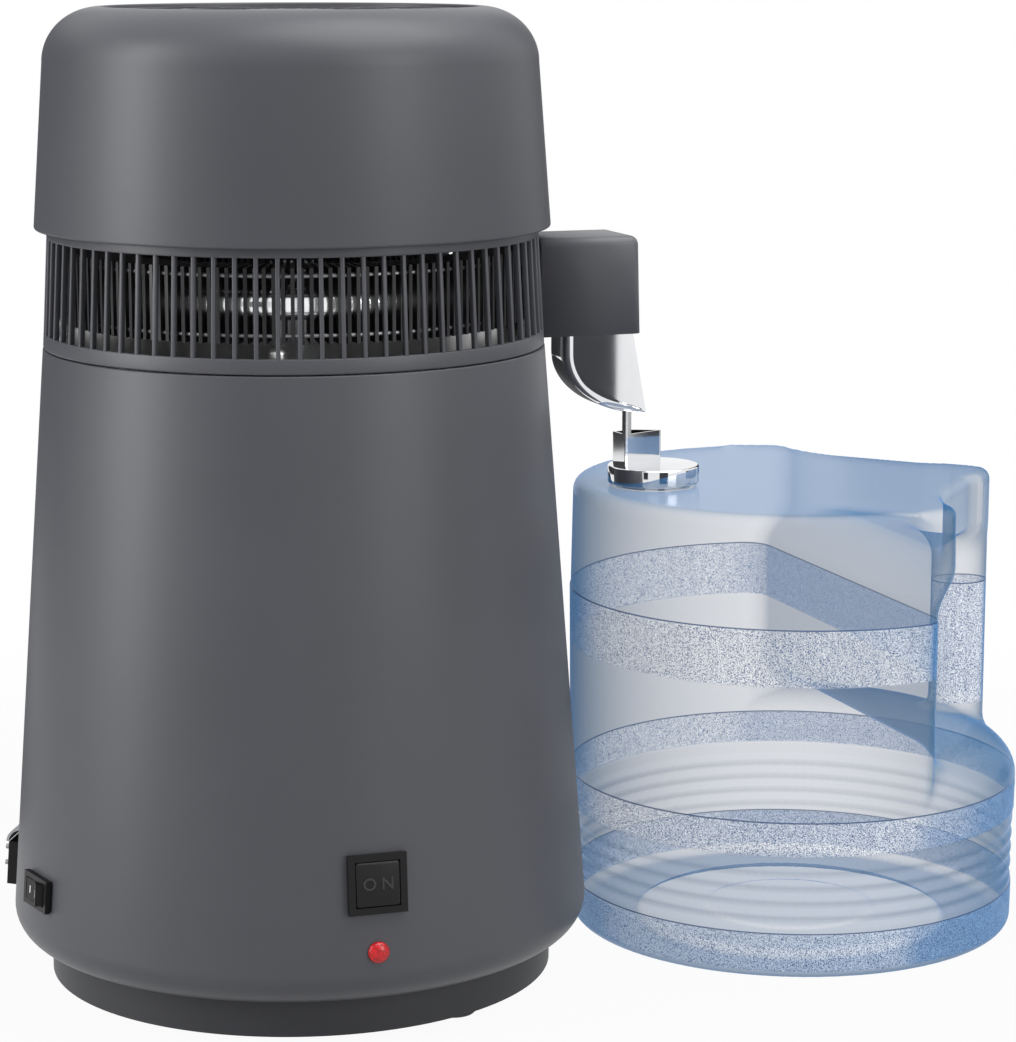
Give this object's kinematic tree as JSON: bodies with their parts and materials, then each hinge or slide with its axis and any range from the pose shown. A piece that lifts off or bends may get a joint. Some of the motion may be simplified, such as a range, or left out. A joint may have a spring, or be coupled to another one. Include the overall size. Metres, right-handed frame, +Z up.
{
  "type": "countertop water distiller",
  "caption": "Tapered grey countertop water distiller with a fan-cooled lift-off head, chrome spout and start button, beside a blue translucent jug with a chrome drip cap.",
  "frame": {"origin": "on the worktop, in the middle of the set's length and depth", "axes": "+Z up, +X from the boiler towards the jug, the start button faces -Y"},
  "size_m": [0.4231, 0.2297, 0.382],
  "materials": {
    "grey_plastic": "satin grey moulded shell",
    "black_plastic": "black moulded plastic",
    "brushed_steel": "drawn stainless sheet",
    "hardware": "plated fixings",
    "chrome": "bright polished metal",
    "cast_alloy": "cast and rolled aluminium",
    "element": "dark sheathed element",
    "motor": "black painted motor can",
    "rubber": "soft moulded rubber",
    "red_lens": "clear red dome",
    "blue_jug": "blue translucent plastic with pebbled bands"
  },
  "bodies": {
    "boiler": {"base_plate": "grey_plastic", "rubber_feet": "rubber", "base_screws": "hardware", "outer_casing": "grey_plastic", "boiling_pot": "brushed_steel", "heater_plate": "cast_alloy", "heating_element": "element", "heater_clamp": "brushed_steel", "heater_stud": "hardware", "heater_nut": "hardware", "thermostats": "black_plastic", "button_housing": "black_plastic", "lamp_holder": "black_plastic", "lamp_lens": "red_lens", "rocker_housing": "black_plastic", "inlet_block": "black_plastic", "inlet_pins": "hardware", "inlet_guard": "cast_alloy"},
    "head": {"vent_ring": "grey_plastic", "chamber_lid": "brushed_steel", "lid_seal": "rubber", "lid_nuts": "chrome", "condenser_tube": "chrome", "condenser_fins": "cast_alloy", "fin_wires": "chrome", "motor_bracket": "black_plastic", "motor_screws": "hardware", "fan_motor": "motor", "top_cover": "grey_plastic", "top_grille": "grey_plastic", "fan_socket": "black_plastic", "arm_cover": "grey_plastic", "spout": "chrome"},
    "fan_rotor": {"fan_shaft": "hardware", "fan": "black_plastic", "fan_nut": "hardware"},
    "button": {"start_button": "black_plastic"},
    "switch_rocker": {"rocker": "black_plastic"},
    "jug_body": {"jug": "blue_jug"},
    "cap": {"jug_cap": "chrome", "drip_guide": "chrome"}
  },
  "joints": [
    {"name": "head_lift", "type": "slide", "parent": "boiler", "child": "head", "axis": [0, 0, 1], "range_m": [0, 0.16]},
    {"name": "fan_spin", "type": "hinge", "parent": "head", "child": "fan_rotor", "pos_m": [-0.09605, 0, 0.34], "axis": [0, 0, 1], "continuous": true},
    {"name": "start_press", "type": "slide", "parent": "boiler", "child": "button", "axis": [0.0174, 0.9971, -0.0745], "range_m": [0, 0.003], "stiffness_N_per_m": 400},
    {"name": "rocker_tilt", "type": "hinge", "parent": "boiler", "child": "switch_rocker", "pos_m": [-0.20623, -0.02342, 0.048], "axis": [0.0729, 0.0155, 0.9972], "range_deg": [0, 18]},
    {"name": "jug_draw", "type": "slide", "parent": "boiler", "child": "jug_body", "axis": [1, 0, 0], "range_m": [0, 0.2]},
    {"name": "cap_turn", "type": "hinge", "parent": "jug_body", "child": "cap", "pos_m": [0.05635, 0.004, 0.19], "axis": [0, 0, 1], "continuous": true}
  ]
}
